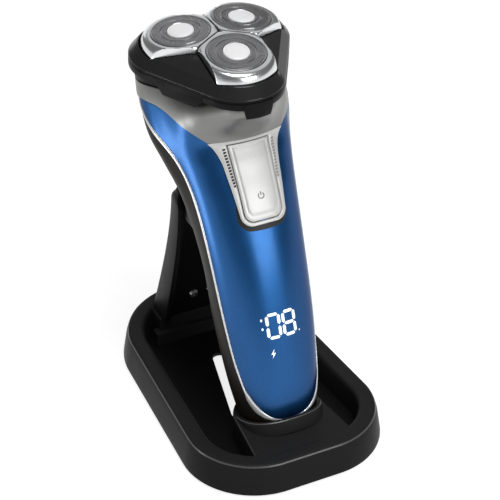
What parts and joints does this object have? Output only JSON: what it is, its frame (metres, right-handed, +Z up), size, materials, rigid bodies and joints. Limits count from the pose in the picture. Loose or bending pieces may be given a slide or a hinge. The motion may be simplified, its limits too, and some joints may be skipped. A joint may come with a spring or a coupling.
{
  "type": "rotary electric shaver",
  "caption": "Rotary electric shaver with a three-cell tilted head, waisted handle, power tongue and digit display, leaning on a ring-shaped charging stand with a rear post.",
  "frame": {"origin": "on the table under the middle of the stand, between its front and rear ends", "axes": "+Z up, -Y towards the front of the shaver, +X to the right of someone looking at its front"},
  "size_m": [0.0832, 0.13, 0.1596],
  "materials": {
    "stand_black": "satin",
    "stand_plate": "fine grain",
    "foot_rubber": "matt",
    "screw_steel": "plated",
    "pad_grey": "matt",
    "contact_gold": "plated",
    "board_green": "solder mask",
    "inlet_black": "moulded",
    "shell_blue": "pearl gloss",
    "shell_dark": "satin",
    "trim_chrome": "plated",
    "collar_silver": "satin",
    "tongue_silver": "satin",
    "frame_nylon": "moulded",
    "display_white": "moulded",
    "battery_wrap": "heat-shrink",
    "tab_nickel": "plain",
    "plate_alloy": "machined",
    "seal_rubber": "matt",
    "motor_steel": "plated",
    "bush_bronze": "sintered",
    "winding_copper": "lacquered",
    "gear_nylon": "moulded",
    "head_black": "gloss",
    "retainer_grey": "moulded",
    "cell_chrome": "plated",
    "guard_steel": "ground",
    "cap_bright": "satin",
    "cutter_steel": "ground",
    "spring_steel": "plain"
  },
  "bodies": {
    "stand": {"stand_base": "stand_black", "stand_bottom_plate": "stand_plate", "stand_feet": "foot_rubber", "stand_screws": "screw_steel", "stand_post": "stand_black", "post_back_cover": "stand_black", "post_pad": "pad_grey", "charge_pins": "contact_gold", "charge_board": "board_green", "power_inlet": "inlet_black"},
    "handle": {"front_shell": "shell_blue", "back_shell": "shell_dark", "side_trim": "trim_chrome", "neck_collar": "collar_silver", "button_bezel": "tongue_silver", "bottom_cap": "shell_dark", "charge_contacts": "contact_gold", "chassis": "frame_nylon", "main_board": "board_green", "power_switch": "inlet_black", "display_module": "display_white", "board_screws": "screw_steel", "battery_cell": "battery_wrap", "battery_tabs": "tab_nickel", "gear_plate": "plate_alloy", "gear_cover": "frame_nylon", "gear_screws": "screw_steel", "neck_gasket": "seal_rubber", "spindle_seals": "seal_rubber", "motor_can": "motor_steel", "motor_end_cap": "inlet_black", "motor_bushes": "bush_bronze"},
    "button": {"power_button": "tongue_silver"},
    "rotor": {"motor_armature": "winding_copper", "motor_shaft": "motor_steel", "drive_pinion": "bush_bronze"},
    "head_unit": {"head_base": "head_black", "head_frame": "head_black", "retaining_plate": "retainer_grey", "cell_spring_front": "spring_steel", "cell_spring_right": "spring_steel", "cell_spring_left": "spring_steel"},
    "drive_front": {"drive_gear_front": "gear_nylon", "spindle_front": "gear_nylon"},
    "cell_front": {"cell_ring_front": "cell_chrome", "guard_front": "guard_steel", "guard_cap_front": "cap_bright"},
    "blades_front": {"cutter_front": "cutter_steel"},
    "drive_right": {"drive_gear_right": "gear_nylon", "spindle_right": "gear_nylon"},
    "cell_right": {"cell_ring_right": "cell_chrome", "guard_right": "guard_steel", "guard_cap_right": "cap_bright"},
    "blades_right": {"cutter_right": "cutter_steel"},
    "drive_left": {"drive_gear_left": "gear_nylon", "spindle_left": "gear_nylon"},
    "cell_left": {"cell_ring_left": "cell_chrome", "guard_left": "guard_steel", "guard_cap_left": "cap_bright"},
    "blades_left": {"cutter_left": "cutter_steel"}
  },
  "joints": [
    {"name": "shaver_lift", "type": "slide", "parent": "stand", "child": "handle", "axis": [0, 0.3223, 0.9466], "range_m": [0, 0.15]},
    {"name": "power_press", "type": "slide", "parent": "handle", "child": "button", "axis": [0, 0.9466, -0.3223], "range_m": [0, 0.00045], "stiffness_N_per_m": 800, "springref_m": -0.0005},
    {"name": "head_pull", "type": "slide", "parent": "handle", "child": "head_unit", "axis": [0, -0.0523, 0.9986], "range_m": [0, 0.03]},
    {"name": "motor_spin", "type": "hinge", "parent": "handle", "child": "rotor", "pos_m": [0, 0.0193, 0.13375], "axis": [0, -0.0523, 0.9986], "continuous": true},
    {"name": "gear_front_spin", "type": "hinge", "parent": "handle", "child": "drive_front", "pos_m": [0, 0.00461, 0.13398], "axis": [0, -0.0523, 0.9986], "continuous": true},
    {"name": "cell_front_float", "type": "slide", "parent": "head_unit", "child": "cell_front", "axis": [0, -0.1564, 0.9877], "range_m": [-0.0012, 0], "stiffness_N_per_m": 300, "springref_m": 0.002, "deforming": ["cell_spring_front"]},
    {"name": "cutter_front_spin", "type": "hinge", "parent": "cell_front", "child": "blades_front", "pos_m": [0, 0.00341, 0.15695], "axis": [0, -0.1564, 0.9877], "continuous": true},
    {"name": "gear_right_spin", "type": "hinge", "parent": "handle", "child": "drive_right", "pos_m": [0.0127, 0.02657, 0.13513], "axis": [0, -0.0523, 0.9986], "continuous": true},
    {"name": "cell_right_float", "type": "slide", "parent": "head_unit", "child": "cell_right", "axis": [0.0905, 0.0001, 0.9959], "range_m": [-0.0012, 0], "stiffness_N_per_m": 300, "springref_m": 0.002, "deforming": ["cell_spring_right"]},
    {"name": "cutter_right_spin", "type": "hinge", "parent": "cell_right", "child": "blades_right", "pos_m": [0.0127, 0.02537, 0.1581], "axis": [0.0905, 0.0001, 0.9959], "continuous": true},
    {"name": "gear_left_spin", "type": "hinge", "parent": "handle", "child": "drive_left", "pos_m": [-0.0127, 0.02657, 0.13513], "axis": [0, -0.0523, 0.9986], "continuous": true},
    {"name": "cell_left_float", "type": "slide", "parent": "head_unit", "child": "cell_left", "axis": [-0.0905, 0.0001, 0.9959], "range_m": [-0.0012, 0], "stiffness_N_per_m": 300, "springref_m": 0.002, "deforming": ["cell_spring_left"]},
    {"name": "cutter_left_spin", "type": "hinge", "parent": "cell_left", "child": "blades_left", "pos_m": [-0.0127, 0.02537, 0.1581], "axis": [-0.0905, 0.0001, 0.9959], "continuous": true}
  ],
  "couplings": [
    {"joint": "gear_front_spin", "follows": "motor_spin", "ratio": -0.6},
    {"joint": "cutter_front_spin", "follows": "motor_spin", "ratio": -0.6},
    {"joint": "gear_right_spin", "follows": "motor_spin", "ratio": -0.6},
    {"joint": "cutter_right_spin", "follows": "motor_spin", "ratio": -0.6},
    {"joint": "gear_left_spin", "follows": "motor_spin", "ratio": -0.6},
    {"joint": "cutter_left_spin", "follows": "motor_spin", "ratio": -0.6}
  ]
}
